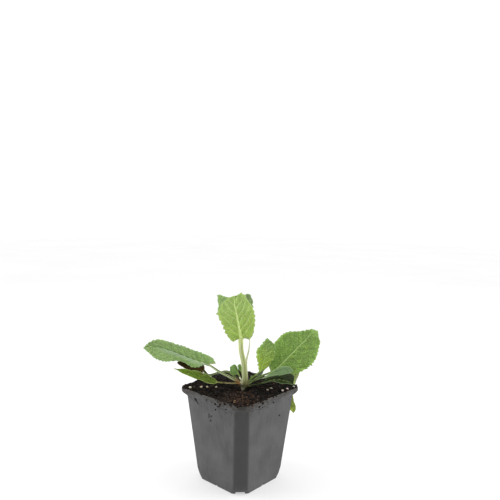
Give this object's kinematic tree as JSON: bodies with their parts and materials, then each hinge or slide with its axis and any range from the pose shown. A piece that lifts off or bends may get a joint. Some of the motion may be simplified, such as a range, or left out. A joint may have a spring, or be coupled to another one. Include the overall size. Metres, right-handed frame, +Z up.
{
  "type": "potted woodland sage",
  "caption": "Young woodland sage with a rosette of wrinkled, hairy leaves and upright leaves at its heart, growing in compost in a square grey nursery pot with a lip and feet.",
  "frame": {"origin": "middle of the pot's base, on the surface that it stands on", "axes": "+Z up; +X and +Y square to the pot's sides, so that it lines up with others in a tray"},
  "size_m": [0.1202, 0.1502, 0.1903],
  "materials": {
    "pot_plastic": "matte",
    "compost": "matte",
    "stem": "satin",
    "leaf_light": "matte",
    "leaf_green": "matte",
    "leaf_grey": "matte",
    "leaf_olive": "matte",
    "leaf_dry": "matte",
    "grain": "satin"
  },
  "bodies": {
    "root": {"pot": "pot_plastic", "compost": "compost", "stem": "stem", "leaf_front_upright": "leaf_light", "leaf_rear_upright": "leaf_grey", "leaf_right_large": "leaf_green", "leaf_right_small": "leaf_light", "leaf_right_grey": "leaf_grey", "leaf_right_low": "leaf_olive", "leaf_over_rim": "leaf_light", "leaf_young_rear": "leaf_green", "leaf_young_rear_small": "leaf_green", "leaf_left_large": "leaf_grey", "leaf_left_low": "leaf_olive", "leaf_withered": "leaf_dry", "leaf_right_folded": "leaf_green", "leaf_bud": "leaf_light", "grain_1": "grain", "grain_2": "grain", "grain_3": "grain", "grain_4": "grain", "grain_5": "grain", "grain_6": "grain", "grain_7": "grain", "grain_8": "grain", "grain_9": "grain"}
  },
  "joints": []
}
